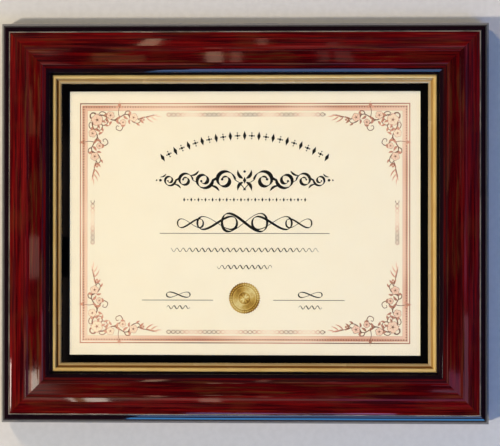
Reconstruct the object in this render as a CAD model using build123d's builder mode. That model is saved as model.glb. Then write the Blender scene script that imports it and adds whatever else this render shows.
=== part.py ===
from build123d import *
import os
from math import cos, radians, sin, sqrt, tan

# A wall-hung certificate frame for one landscape document, with its glazing, mat and backing.
# X runs to the viewer's right, Z runs up and the front faces -Y. The wall is the plane y = 0, and the
# origin is on the wall behind the middle notch of the hanger, where the wall nail goes in.
# Lengths are millimetres. In the mouldings, u is measured inward from the frame's outer edge and
# h forward from the back of the rails.

# Document and what covers its edges
document_width = 279.4
document_height = 215.9
document_thickness = 0.3
document_clearance = 1.3
sight_overlap = 6.35
mat_reveal = 5.3

# Layers behind the slip
glazing_thickness = 2.0
glazing_seam = 0.3
mat_thickness = 1.4
mat_bevel = 1.1
filler_thickness = 2.7
backing_thickness = 3.0
backing_recess = 0.2

# Rail section, member by member from the outer edge inward
side_height = 12.3
bevel_width = 2.0
bevel_rise = 5.5
bead_width = 4.4
bead_rise = 3.2
bead_crown = 0.4
riser_height = 0.4
arris_radius = 0.7
ledge_width = 0.5
cushion_width = 11.2
cushion_rise = 1.7
cushion_crown = 0.42
crest_radius = 14.0
scoop_width = 10.8
scoop_fall = 0.8
scoop_depth = 0.35
shoulder_width = 1.4
shoulder_fall = 1.0
shoulder_crown = 0.2
groove_width = 0.8
groove_depth = 0.5
nose_width = 4.4
nose_fall = 1.5
nose_crown = 0.4

# Slip section
quirk_width = 1.4
slip_bead_width = 2.8
slip_bead_height = 7.6
slip_groove_width = 1.5
slip_groove_height = 4.7
slip_groove_hollow = 0.4
slip_lip_width = 1.8
slip_lip_height = 4.3
slip_lip_crown = 0.25
slip_flange_thickness = 2.9
slip_leg_thickness = 2.4
slip_setback = 0.4
glue_gap = 0.1

# V nails across the mitres
v_nail_reach = 5.0
v_nail_half_angle = 38.0
v_nail_metal = 0.6
v_nail_depth = 10.0
v_nail_outer = 9.0
v_nail_inner = 21.0
v_nail_clearance = 0.05

# Turn buttons and their screws
button_spacing = 170.0
button_setback = 8.75
button_lap = 7.4
button_radius = 5.5
button_tip_radius = 3.6
button_thickness = 1.0
button_edge = 0.25
button_gap = 0.15
screw_diameter = 3.5
screw_running_clearance = 0.1
screw_length = 12.0
screw_head_diameter = 7.2
screw_head_height = 1.9
screw_head_crown = 0.7
screw_recess_length = 3.6
screw_recess_width = 0.9
screw_recess_depth = 0.9
pilot_clearance = 0.05

# Hanger and its nails
hanger_length = 46.0
hanger_height = 11.0
hanger_metal = 0.9
hanger_foot = 9.0
hanger_ramp = 2.5
hanger_rise = 2.2
hanger_corner = 2.5
hanger_drop = 18.5
tooth_pitch = 3.2
tooth_depth = 2.0
tooth_count = 7
nail_diameter = 1.8
nail_length = 13.0
nail_head_diameter = 4.2
nail_head_height = 1.0

# Wall bumpers
bumper_diameter = 12.0
bumper_face_diameter = 9.0
bumper_thickness = 4.5
bumper_edge = 0.5
bumper_from_side = 36.0
bumper_from_edge = 14.0

# Foil seal on the document
seal_radius = 11.6
seal_points = 40
seal_point_depth = 0.7
seal_thickness = 0.25
seal_drop = 54.7

# Places across the rail section
bead_end = bevel_width + bead_width
ledge_start = bead_end + arris_radius
cushion_start = ledge_start + ledge_width
crest = cushion_start + cushion_width
scoop_end = crest + scoop_width
shoulder_end = scoop_end + shoulder_width
groove_end = shoulder_end + groove_width
rail_face = groove_end + nose_width

# Heights of the rail section
bevel_top = side_height + bevel_rise
bead_top = bevel_top + bead_rise
ledge_height = bead_top + riser_height + arris_radius
crest_height = ledge_height + cushion_rise
scoop_height = crest_height - scoop_fall
shoulder_height = scoop_height - shoulder_fall
groove_height = shoulder_height - groove_depth
nose_height = shoulder_height - nose_fall

# Places across the slip section, which starts a quirk away from the rail
slip_bead_start = rail_face + quirk_width
slip_groove_start = slip_bead_start + slip_bead_width
slip_lip_start = slip_groove_start + slip_groove_width
face_width = slip_lip_start + slip_lip_width
slip_leg_inside = face_width - sight_overlap - document_clearance
slip_leg_outside = slip_leg_inside - slip_leg_thickness
rabbet_wall = slip_leg_outside - glue_gap

# Layers, each seated on the one in front of it
backing_back = backing_recess
filler_back = backing_back + backing_thickness
document_back = filler_back + filler_thickness
mat_back = document_back + document_thickness
glazing_back = mat_back + mat_thickness
slip_back = glazing_back + glazing_thickness
flange_front = slip_back + slip_flange_thickness

# The frame as a whole
outer_width = document_width - 2 * sight_overlap + 2 * face_width
outer_height = document_height - 2 * sight_overlap + 2 * face_width
centre_z = hanger_drop - outer_height / 2
frame_plane = Plane(origin=(0, -bumper_thickness, centre_z), x_dir=(1, 0, 0), z_dir=(0, -1, 0))
side_turns = {"bottom": 0, "right": 90, "top": 180, "left": 270}

# Hardware on the back, as places in the frame plane
pivot_from_edge = rabbet_wall - button_setback
pivot_x = outer_width / 2 - pivot_from_edge
pivot_y = outer_height / 2 - pivot_from_edge
button_reach = button_setback + (face_width - sight_overlap - rabbet_wall) + button_lap
button_half_spacing = button_spacing / 2
turn_buttons = {
    "turn_button_top_left": (-button_half_spacing, pivot_y, 270),
    "turn_button_top_right": (button_half_spacing, pivot_y, 270),
    "turn_button_bottom_left": (-button_half_spacing, -pivot_y, 90),
    "turn_button_bottom_right": (button_half_spacing, -pivot_y, 90),
    "turn_button_left": (-pivot_x, 0, 0),
    "turn_button_right": (pivot_x, 0, 180),
}
screw_spots = [(x, y) for x, y, turn in turn_buttons.values()]
screw_head_gap = 2 * button_gap + button_thickness
bumper_x = outer_width / 2 - bumper_from_side
bumper_y = outer_height / 2 - bumper_from_edge
bumpers = {
    "bumper_top_left": (-bumper_x, bumper_y),
    "bumper_top_right": (bumper_x, bumper_y),
    "bumper_bottom_left": (-bumper_x, -bumper_y),
    "bumper_bottom_right": (bumper_x, -bumper_y),
}
hanging_point_y = outer_height / 2 - hanger_drop
hanger_middle_y = hanging_point_y - tooth_depth + hanger_height / 2
nail_x = hanger_length / 2 - hanger_foot / 2
nail_spots = [(-nail_x, hanger_middle_y), (nail_x, hanger_middle_y)]

os.makedirs("parts", exist_ok=True)


def keep(piece, name):
    """Labels a finished piece and writes it as its own file."""
    piece.part.label = name
    export_step(piece.part, f"parts/{name}.step")


def side_plane(side):
    """Middle of a side's outer edge, with x along the side and y pointing into the frame."""
    half = (outer_height if side in ("top", "bottom") else outer_width) / 2
    return Plane(frame_plane.location * Rot(0, 0, side_turns[side]) * Pos(0, -half, 0))


def section_plane(side):
    """Plane across a side, with x as u and y as h."""
    along = side_plane(side)
    return Plane(origin=along.origin, x_dir=along.y_dir, z_dir=along.x_dir)


def half_run(side):
    """Half the outer length of a side."""
    return (outer_width if side in ("top", "bottom") else outer_height) / 2


def mitre(side):
    """Cuts the strip being built at 45 degrees through both outer corners."""
    along = side_plane(side)
    for end in (-1, 1):
        corner = along.from_local_coords((end * half_run(side), 0, 0))
        cut = Plane(origin=corner, z_dir=along.x_dir * end + along.y_dir)
        split(bisect_by=cut, keep=Keep.BOTTOM)


def crowned(start, end, crown):
    """Arc whose middle stands forward of its chord by the crown, or hollow if that is negative."""
    middle = ((start[0] + end[0]) / 2, (start[1] + end[1]) / 2 + crown)
    return ThreePointArc(start, middle, end)


def dome(radius, low, high):
    """Arc of a domed head, from its rim at the low level to its top on the axis."""
    rise = high - low
    ball = (radius**2 + rise**2) / (2 * rise)
    half_way = high - ball + sqrt(ball**2 - radius**2 / 4)
    return ThreePointArc((radius, low), (radius / 2, half_way), (0, high))


def rail_section(side):
    """Bevel, bead, cushion, scoop, shoulder and nose of the rail, with the rabbet behind the nose."""
    arris_in = arris_radius * (1 - cos(radians(45)))
    arris_up = arris_radius * sin(radians(45))
    riser_top = bead_top + riser_height
    with BuildSketch(section_plane(side)) as section:
        with BuildLine():
            Polyline((0, 0), (0, side_height), (bevel_width, bevel_top))
            crowned((bevel_width, bevel_top), (bead_end, bead_top), bead_crown)
            Line((bead_end, bead_top), (bead_end, riser_top))
            ThreePointArc(
                (bead_end, riser_top),
                (bead_end + arris_in, riser_top + arris_up),
                (ledge_start, ledge_height),
            )
            Line((ledge_start, ledge_height), (cushion_start, ledge_height))
            crowned((cushion_start, ledge_height), (crest, crest_height), cushion_crown)
            crowned((crest, crest_height), (scoop_end, scoop_height), -scoop_depth)
            crowned((scoop_end, scoop_height), (shoulder_end, shoulder_height), shoulder_crown)
            Polyline(
                (shoulder_end, shoulder_height),
                (shoulder_end, groove_height),
                (groove_end, groove_height),
                (groove_end, shoulder_height),
            )
            crowned((groove_end, shoulder_height), (rail_face, nose_height), nose_crown)
            Polyline(
                (rail_face, nose_height),
                (rail_face, flange_front + glue_gap),
                (rabbet_wall, flange_front + glue_gap),
                (rabbet_wall, 0),
                (0, 0),
            )
        make_face()
        fillet(section.vertices().sort_by(Axis.Y)[-1], crest_radius)
    return section.sketch


def slip_section(side):
    """Bead, hollow and sight lip of the slip, with the leg that lines the rabbet."""
    bead_half = slip_bead_width / 2
    bead_crest = slip_back + slip_bead_height
    bead_spring = bead_crest - bead_half
    groove_front = slip_back + slip_groove_height
    lip_front = slip_back + slip_lip_height
    with BuildSketch(section_plane(side)) as section:
        with BuildLine():
            Polyline(
                (slip_leg_outside, slip_setback),
                (slip_leg_outside, flange_front),
                (slip_bead_start, flange_front),
                (slip_bead_start, bead_spring),
            )
            ThreePointArc(
                (slip_bead_start, bead_spring),
                (slip_bead_start + bead_half, bead_crest),
                (slip_groove_start, bead_spring),
            )
            crowned(
                (slip_groove_start, bead_spring), (slip_lip_start, groove_front), -slip_groove_hollow
            )
            crowned((slip_lip_start, groove_front), (face_width, lip_front), slip_lip_crown)
            Polyline(
                (face_width, lip_front),
                (face_width, slip_back),
                (slip_leg_inside, slip_back),
                (slip_leg_inside, slip_setback),
                (slip_leg_outside, slip_setback),
            )
        make_face()
    return section.sketch


def v_nail_plan(clearance):
    """Plan of all eight V nails, two on each mitre, each with its point towards the corner."""
    slope = tan(radians(v_nail_half_angle))
    wall_across = (v_nail_metal + 2 * clearance) / cos(radians(v_nail_half_angle))
    tip = -clearance / sin(radians(v_nail_half_angle))
    end = v_nail_reach + clearance
    outer = (end - tip) * slope
    inner = outer - wall_across
    heel = tip + wall_across / slope
    outline = [(tip, 0), (end, -outer), (end, -inner), (heel, 0), (end, inner), (end, outer)]
    spots = []
    for side_x, side_y, turn in ((-1, -1, 45), (1, -1, 135), (1, 1, 225), (-1, 1, 315)):
        for inset in (v_nail_outer, v_nail_inner):
            x = side_x * (outer_width / 2 - inset)
            y = side_y * (outer_height / 2 - inset)
            spots.append(Location((x, y), turn))
    with BuildSketch(frame_plane) as plan:
        with Locations(*spots):
            Polygon(*outline, align=None)
    return plan.sketch


def round_holes(spots, diameter):
    """Circles for holes in the back of a rail that take a round shank."""
    with BuildSketch(frame_plane) as plan:
        with Locations(*spots):
            Circle(diameter / 2 + pilot_clearance)
    return plan.sketch


# Rails of lacquered wood, slotted for the V nails and drilled for the screws and nails in their backs
screw_hole_depth = screw_length - screw_head_gap + pilot_clearance
nail_hole_depth = nail_length - hanger_metal + pilot_clearance
for side in side_turns:
    with BuildPart() as rail:
        extrude(rail_section(side), amount=half_run(side), both=True)
        mitre(side)
        nail_slot_depth = v_nail_depth + v_nail_clearance
        extrude(v_nail_plan(v_nail_clearance), amount=nail_slot_depth, mode=Mode.SUBTRACT)
        extrude(round_holes(screw_spots, screw_diameter), amount=screw_hole_depth, mode=Mode.SUBTRACT)
        if side == "top":
            extrude(round_holes(nail_spots, nail_diameter), amount=nail_hole_depth, mode=Mode.SUBTRACT)
    keep(rail, f"rail_{side}")

# Gilt slips glued under the lip of the rails
for side in side_turns:
    with BuildPart() as slip:
        extrude(slip_section(side), amount=half_run(side), both=True)
        mitre(side)
    keep(slip, f"slip_{side}")

# Steel V nails that draw the mitres together
with BuildPart() as corner_v_nails:
    extrude(v_nail_plan(0), amount=v_nail_depth)
keep(corner_v_nails, "corner_v_nails")

# Clear glazing against the back of the slips, its cut edges seamed
with BuildPart() as glazing:
    with BuildSketch(frame_plane.offset(glazing_back)):
        Rectangle(document_width, document_height)
    extrude(amount=glazing_thickness)
    chamfer(glazing.edges().group_by(Axis.Y)[0], length=glazing_seam)
keep(glazing, "glazing")

# Black mat with a bevelled window
with BuildPart() as mat:
    window_width = document_width - 2 * (sight_overlap + mat_reveal)
    window_height = document_height - 2 * (sight_overlap + mat_reveal)
    with BuildSketch(frame_plane.offset(mat_back)):
        Rectangle(document_width, document_height)
        Rectangle(window_width, window_height, mode=Mode.SUBTRACT)
    extrude(amount=mat_thickness)
    window_edges = mat.faces().sort_by(Axis.Y)[0].inner_wires()[0].edges()
    chamfer(window_edges, length=mat_bevel)
keep(mat, "mat")

# Certificate on heavy paper
with BuildPart() as certificate:
    with BuildSketch(frame_plane.offset(document_back)):
        Rectangle(document_width, document_height)
    extrude(amount=document_thickness)
keep(certificate, "certificate")

# Round foil seal with a saw-toothed rim, stuck to the certificate
with BuildPart() as foil_seal:
    rim = []
    for step in range(2 * seal_points):
        radius = seal_radius - seal_point_depth * (step % 2)
        angle = radians(180 * step / seal_points)
        rim.append((radius * cos(angle), radius * sin(angle)))
    with BuildSketch(frame_plane.offset(mat_back)):
        with Locations((0, -seal_drop)):
            Polygon(*rim, align=None)
    extrude(amount=seal_thickness)
keep(foil_seal, "foil_seal")

# Filler board behind the certificate
with BuildPart() as filler_board:
    with BuildSketch(frame_plane.offset(filler_back)):
        Rectangle(document_width, document_height)
    extrude(amount=filler_thickness)
keep(filler_board, "filler_board")

# Hardboard backing
with BuildPart() as backing_board:
    with BuildSketch(frame_plane.offset(backing_back)):
        Rectangle(document_width, document_height)
    extrude(amount=backing_thickness)
keep(backing_board, "backing_board")

# Turn buttons, stamped plates that swivel on their screws and lap over the backing
for name, (x, y, turn) in turn_buttons.items():
    with BuildPart() as turn_button:
        with BuildSketch(Plane(frame_plane.location * Pos(x, y, -button_gap) * Rot(0, 0, turn))):
            Circle(button_radius)
            with Locations((button_reach - button_tip_radius, 0)):
                Circle(button_tip_radius)
            make_hull()
            Circle(screw_diameter / 2 + screw_running_clearance, mode=Mode.SUBTRACT)
        extrude(amount=-button_thickness)
        rear_face = turn_button.faces().sort_by(Axis.Y)[-1]
        fillet(rear_face.outer_wire().edges(), radius=button_edge)
    keep(turn_button, name)

# Pan-head screws with a cross recess
with BuildPart() as turn_button_screw:
    head_radius = screw_head_diameter / 2
    head_rim = screw_head_height - screw_head_crown
    with BuildSketch(Plane.XZ):
        with BuildLine():
            Line((0, 0), (head_radius, 0))
            Line((head_radius, 0), (head_radius, head_rim))
            dome(head_radius, head_rim, screw_head_height)
            Line((0, screw_head_height), (0, 0))
        make_face()
    revolve(axis=Axis.Z)
    with BuildSketch(Plane.XY):
        Circle(screw_diameter / 2)
    extrude(amount=-screw_length)
    with BuildSketch(Plane.XY.offset(screw_head_height)):
        Rectangle(screw_recess_length, screw_recess_width)
        Rectangle(screw_recess_width, screw_recess_length)
    extrude(amount=-screw_recess_depth, mode=Mode.SUBTRACT)

head_seats = [
    frame_plane.location * Pos(x, y, -screw_head_gap) * Rot(180, 0, 0) for x, y in screw_spots
]
with BuildPart() as turn_button_screws:
    with Locations(*head_seats):
        add(turn_button_screw.part)
keep(turn_button_screws, "turn_button_screws")

# Sawtooth hanger: a strip with flat feet and a raised bridge, toothed along its lower edge
with BuildPart() as hanger:
    strip_low = hanging_point_y - tooth_depth
    foot_in = hanger_length / 2 - hanger_foot
    bridge = foot_in - hanger_ramp
    half = hanger_length / 2
    raised = hanger_rise + hanger_metal
    strip_plane = Plane(frame_plane.location * Pos(0, strip_low, 0) * Rot(-90, 0, 0))
    with BuildSketch(strip_plane):
        with BuildLine():
            Polyline(
                (-half, 0),
                (-foot_in, 0),
                (-bridge, hanger_rise),
                (bridge, hanger_rise),
                (foot_in, 0),
                (half, 0),
                (half, hanger_metal),
                (foot_in, hanger_metal),
                (bridge, raised),
                (-bridge, raised),
                (-foot_in, hanger_metal),
                (-half, hanger_metal),
                close=True,
            )
        make_face()
    extrude(amount=hanger_height)
    feet_corners = hanger.edges().filter_by(Axis.Y).group_by(Axis.X)
    fillet(feet_corners[0] + feet_corners[-1], radius=hanger_corner)
    with BuildSketch(frame_plane):
        for step in range(tooth_count):
            notch_x = (step - (tooth_count - 1) / 2) * tooth_pitch
            with Locations((notch_x, strip_low)):
                Polygon((-tooth_pitch / 2, 0), (tooth_pitch / 2, 0), (0, tooth_depth), align=None)
        with Locations(*nail_spots):
            Circle(nail_diameter / 2 + pilot_clearance)
    extrude(amount=-raised, mode=Mode.SUBTRACT)
keep(hanger, "sawtooth_hanger")

# Domed nails through the feet of the hanger
with BuildPart() as hanger_nail:
    with BuildSketch(Plane.XZ):
        with BuildLine():
            Line((0, 0), (nail_head_diameter / 2, 0))
            dome(nail_head_diameter / 2, 0, nail_head_height)
            Line((0, nail_head_height), (0, 0))
        make_face()
    revolve(axis=Axis.Z)
    with BuildSketch(Plane.XY):
        Circle(nail_diameter / 2)
    extrude(amount=-nail_length)

nail_seats = [
    frame_plane.location * Pos(x, y, -hanger_metal) * Rot(180, 0, 0) for x, y in nail_spots
]
with BuildPart() as hanger_nails:
    with Locations(*nail_seats):
        add(hanger_nail.part)
keep(hanger_nails, "hanger_nails")

# Rubber bumpers that hold the frame off the wall
for name, (x, y) in bumpers.items():
    with BuildPart() as bumper:
        with BuildSketch(Plane(frame_plane.location * Pos(x, y, 0))):
            Circle(bumper_diameter / 2)
        with BuildSketch(Plane(frame_plane.location * Pos(x, y, -bumper_thickness))):
            Circle(bumper_face_diameter / 2)
        loft()
        fillet(bumper.faces().sort_by(Axis.Y)[-1].edges(), radius=bumper_edge)
    keep(bumper, name)
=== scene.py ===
from math import atan2, cos, hypot, inf, pi, radians, sin, tau

import bpy
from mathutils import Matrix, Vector


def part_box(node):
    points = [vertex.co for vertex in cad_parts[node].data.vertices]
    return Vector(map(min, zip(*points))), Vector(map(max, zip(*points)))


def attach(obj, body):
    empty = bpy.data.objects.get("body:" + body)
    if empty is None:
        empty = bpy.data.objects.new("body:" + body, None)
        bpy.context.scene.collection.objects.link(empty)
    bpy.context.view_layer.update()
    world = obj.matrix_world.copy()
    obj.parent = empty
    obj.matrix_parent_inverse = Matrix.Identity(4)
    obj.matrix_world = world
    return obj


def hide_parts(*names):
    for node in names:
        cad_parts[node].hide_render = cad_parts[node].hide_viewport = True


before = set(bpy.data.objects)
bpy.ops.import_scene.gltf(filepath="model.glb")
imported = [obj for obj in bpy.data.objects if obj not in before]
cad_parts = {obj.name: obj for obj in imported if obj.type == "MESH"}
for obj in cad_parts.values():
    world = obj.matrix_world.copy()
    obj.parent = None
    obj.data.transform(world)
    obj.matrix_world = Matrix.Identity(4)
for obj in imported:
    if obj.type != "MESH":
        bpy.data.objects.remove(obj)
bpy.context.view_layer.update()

# Rails: four lengths of wooden moulding with a bevelled side, a bead, a cushion, a scoop and a nose.
# They are stained a streaky mahogany red, sprayed with thick clear lacquer and polished to a mirror, with
# the bead and the nose in black. The mitres are glued, and the backs are left as plain brown wood.
# Painted shade darkens some sides more than others, the scoop and a line in the groove, and a painted
# highlight lies along the arris between the bead and the cushion.
mm = 0.001
side_height = 12.3
bevel_width, bevel_rise = 2.0, 5.5
bead_width, bead_rise, bead_crown = 4.4, 3.2, 0.4
riser_height, arris_radius, ledge_width = 0.4, 0.7, 0.5
cushion_width, cushion_rise, cushion_crown = 12.2, 1.7, 0.42
scoop_width, scoop_fall, scoop_depth = 9.8, 0.68, 0.03
step_width, step_fall = 0.9, 0.45
shoulder_width, shoulder_fall, shoulder_crown = 3.6, 0.87, 0.12
groove_place, groove_width = 31.4, 0.8
nose_width, nose_fall, nose_crown = 3.0, 1.75, 0.22
rail_lip_back, rabbet_wall = 12.6, 33.55
back_sink = 0.03
contour_spacing = 0.12
lacquer_passes = 5
crest_passes, crest_reach = 30, 2.2
nose_passes, nose_reach = 45, 1.6
rail_steps, rail_crease = 16, radians(40)
# Painted shade: each rail's red is darkened by its own amount, most on the right and none on the left.
side_shade_tones = {"bottom": 0.16, "right": 0.36, "top": 0.12, "left": 0.0}

outer_half_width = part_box("rail_right")[1].x
outer_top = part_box("rail_top")[1].z
outer_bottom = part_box("rail_bottom")[0].z
outer_half_height = (outer_top - outer_bottom) / 2
centre_z = (outer_top + outer_bottom) / 2
rail_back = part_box("rail_bottom")[1].y
sides = {
    "bottom": (Vector((1, 0, 0)), Vector((0, 0, 1))),
    "right": (Vector((0, 0, 1)), Vector((-1, 0, 0))),
    "top": (Vector((-1, 0, 0)), Vector((0, 0, -1))),
    "left": (Vector((0, 0, -1)), Vector((1, 0, 0))),
}

bead_end = bevel_width + bead_width
ledge_start = bead_end + arris_radius
cushion_start = ledge_start + ledge_width
crest = cushion_start + cushion_width
scoop_end = crest + scoop_width
shoulder_end = scoop_end + shoulder_width
rail_face = shoulder_end + nose_width
masking_blur, groove_blur, groove_shade = 0.4, 0.3, 0.7
outer_black_end, nose_black_start = cushion_start - 0.25, rail_face - 2.9
groove_end = groove_place + groove_width
arris_highlight_rise = (ledge_start - 0.45, ledge_start - 0.2)
arris_highlight_fall = (cushion_start - 0.3, cushion_start - 0.1)
russet_rise, scoop_shade_rise = (crest - 4, crest + 3), (crest - 1, crest + 3)
bare_fall, overspray_fall = (back_sink + 0.05, back_sink + 0.25), (2.5, 6.5)


def arc(start, middle, end, count=32):
    """Points after the start on the circle through three points of a section."""
    (ax, ay), (bx, by), (cx, cy) = start, middle, end
    twice = 2 * (ax * (by - cy) + bx * (cy - ay) + cx * (ay - by))
    a, b, c = ax**2 + ay**2, bx**2 + by**2, cx**2 + cy**2
    x = (a * (by - cy) + b * (cy - ay) + c * (ay - by)) / twice
    y = (a * (cx - bx) + b * (ax - cx) + c * (bx - ax)) / twice
    radius = hypot(ax - x, ay - y)
    first = atan2(ay - y, ax - x)
    turn = (atan2(cy - y, cx - x) - first + pi) % tau - pi
    half = (atan2(by - y, bx - x) - first + pi) % tau - pi
    if turn * half < 0:
        turn -= tau * (1 if turn > 0 else -1)
    angles = [first + turn * (i + 1) / count for i in range(count)]
    return [(x + radius * cos(t), y + radius * sin(t)) for t in angles]


def crowned(start, end, crown):
    """Arc whose middle stands forward of its chord by the crown."""
    return arc(start, ((start[0] + end[0]) / 2, (start[1] + end[1]) / 2 + crown), end)


def evenly(points, spacing):
    """The same line with its points at one spacing."""
    made, left = [points[0]], 0.0
    for (ax, ay), (bx, by) in zip(points, points[1:]):
        length = hypot(bx - ax, by - ay)
        travelled = spacing - left
        while travelled < length:
            share = travelled / length
            made.append((ax + (bx - ax) * share, ay + (by - ay) * share))
            travelled += spacing
        left = length - (travelled - spacing)
    return made + [points[-1]]


def eased(points, passes, low_u=-inf, high_u=inf):
    """Rounds the arrises of a section between two places across it, as sanding and lacquer do."""
    for _ in range(passes):
        last = points
        points = [
            p
            if i in (0, len(last) - 1) or not low_u < p[0] < high_u
            else tuple((last[i - 1][k] + 2 * p[k] + last[i + 1][k]) / 4 for k in (0, 1))
            for i, p in enumerate(last)
        ]
    return points


def rail_outline():
    """The rail's closed section: its shaped front, and then the rabbet and the back."""
    bead_top = side_height + bevel_rise + bead_rise
    riser_top = bead_top + riser_height
    ledge_height = riser_top + arris_radius
    crest_height = ledge_height + cushion_rise
    scoop_height = crest_height - scoop_fall
    shoulder_height = scoop_height - shoulder_fall
    nose_height = shoulder_height - nose_fall
    arris_shift = arris_radius * cos(radians(45))
    line = [(0, back_sink), (0, side_height)]
    line.append((bevel_width, side_height + bevel_rise))
    line += crowned(line[-1], (bead_end, bead_top), bead_crown)
    line.append((bead_end, riser_top))
    line += arc(
        line[-1],
        (ledge_start - arris_shift, riser_top + arris_shift),
        (ledge_start, ledge_height),
    )
    line.append((cushion_start, ledge_height))
    line += crowned(line[-1], (crest, crest_height), cushion_crown)
    line.append((crest + step_width, crest_height - step_fall))
    line += crowned(line[-1], (scoop_end, scoop_height), -scoop_depth)
    line += crowned(line[-1], (shoulder_end, shoulder_height), shoulder_crown)
    line += crowned(line[-1], (rail_face, nose_height), nose_crown)
    line.append((rail_face, rail_lip_back))
    front = eased(evenly(line, contour_spacing), lacquer_passes)
    front = eased(front, crest_passes, crest - crest_reach, crest + crest_reach)
    front = eased(front, nose_passes, scoop_end - nose_reach, shoulder_end + nose_reach / 2)
    return front + [(rabbet_wall, rail_lip_back), (rabbet_wall, back_sink)]


def new_piece(name, points, faces, finish):
    """A mesh object of its own, with one finish."""
    mesh = bpy.data.meshes.new(name)
    mesh.from_pydata(points, [], faces)
    mesh.materials.append(finish)
    made = bpy.data.objects.new(name, mesh)
    bpy.context.scene.collection.objects.link(made)
    return made


def mark(piece, name, values):
    """Gives each point of a piece a number that its finish reads."""
    piece.data.attributes.new(name, "FLOAT", "POINT").data.foreach_set("value", values)


def mitred_length(name, side, outline, steps, crease, finish):
    """Closed mesh of an outline run along one side and cut at 45 degrees through the outer corners.

    Its attribute "section" holds the place along the side, across it and forward of the back, in mm.
    """
    along, inward = sides[side]
    flat = side in ("top", "bottom")
    half_run = outer_half_width if flat else outer_half_height
    half_span = outer_half_height if flat else outer_half_width
    middle = Vector((0, rail_back, centre_z)) - inward * half_span
    points, places = [], []
    for step in range(steps + 1):
        share = 2 * step / steps - 1
        for u, h in outline:
            run = share * (half_run - u * mm)
            points.append(middle + along * run + inward * u * mm - Vector((0, h * mm, 0)))
            places += [run / mm, u, h]
    count = len(outline)
    faces = []
    for step in range(steps):
        near, far = step * count, (step + 1) * count
        for i in range(count):
            j = (i + 1) % count
            faces.append((near + i, far + i, far + j, near + j))
    faces.append(tuple(range(count)))
    faces.append(tuple(range(steps * count + count - 1, steps * count - 1, -1)))
    made = new_piece(name, points, faces, finish)
    mesh = made.data
    mesh.validate()
    mesh.attributes.new("section", "FLOAT_VECTOR", "POINT").data.foreach_set("vector", places)
    mesh.polygons.foreach_set("use_smooth", [True] * len(faces))
    mesh.set_sharp_from_angle(angle=crease)
    return made


def srgb(red, green, blue):
    """A colour written as it looks on screen, from 0 to 255, in Blender's linear values."""
    shares = [value / 255 for value in (red, green, blue)]
    linear = [s / 12.92 if s <= 0.04045 else ((s + 0.055) / 1.055) ** 2.4 for s in shares]
    return (*linear, 1.0)


def new_finish(name):
    """An empty finish: its material, its node tree and its shader."""
    material = bpy.data.materials.new(name)
    material.use_nodes = True
    return material, material.node_tree, material.node_tree.nodes["Principled BSDF"]


def fill(tree, node, sockets):
    """Sets each named socket of a node, or links it to the output of another node."""
    for key, value in sockets.items():
        if isinstance(value, bpy.types.NodeSocket):
            tree.links.new(value, node.inputs[key])
        else:
            node.inputs[key].default_value = value


def put(tree, kind, sockets=None, output=0, **settings):
    """Adds a shader node, fills its sockets and gives one of its outputs."""
    node = tree.nodes.new("ShaderNode" + kind)
    for name, value in settings.items():
        setattr(node, name, value)
    fill(tree, node, sockets or {})
    return node.outputs[output]


def section_place(tree):
    """The place on a moulding as one vector, and its parts across the moulding and forward of the back."""
    vector = put(tree, "Attribute", output="Vector", attribute_name="section")
    split = put(tree, "SeparateXYZ", {0: vector}).node
    return vector, split.outputs[1], split.outputs[2]


def streaks(tree, vector, stretch, detail, offset=0.0):
    """Noise from 0 to 1 with its own stretch along each axis of a place."""
    sockets = {0: vector, 1: stretch, 2: (offset, offset, offset)}
    shifted = put(tree, "VectorMath", sockets, operation="MULTIPLY_ADD")
    return put(tree, "TexNoise", {"Vector": shifted, "Scale": 1.0, "Detail": detail})


def fade(tree, value, low, high, start=0.0, end=1.0):
    """Runs smoothly from start to end as a value goes from low to high."""
    sockets = {"Value": value, "From Min": low, "From Max": high, "To Min": start, "To Max": end}
    return put(tree, "MapRange", sockets, interpolation_type="SMOOTHSTEP")


def sums(tree, operation, first, second):
    """One step of arithmetic."""
    return put(tree, "Math", {0: first, 1: second}, operation=operation)


def times(tree, first, second):
    """The product of two numbers."""
    return sums(tree, "MULTIPLY", first, second)


def stripe(tree, value, rise, fall, strength=1.0):
    """A soft-edged stripe, which comes up between the values of rise and goes between those of fall."""
    return times(tree, fade(tree, value, *rise, 0.0, strength), fade(tree, value, *fall, 1.0, 0.0))


def mixed(tree, share, first, second):
    """Two colours mixed by a share."""
    return put(tree, "Mix", {0: share, 6: first, 7: second}, output=2, data_type="RGBA")


def layered(tree, colour, layers):
    """A colour with others laid over it in turn, each by its own share."""
    for share, over in layers:
        colour = mixed(tree, share, colour, over)
    return colour


def raised(tree, shader, height, distance):
    """Gives a shader the relief of a height from 0 to 1, over a real distance in metres."""
    fill(tree, shader, {"Normal": put(tree, "Bump", {"Height": height, "Distance": distance})})


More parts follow.
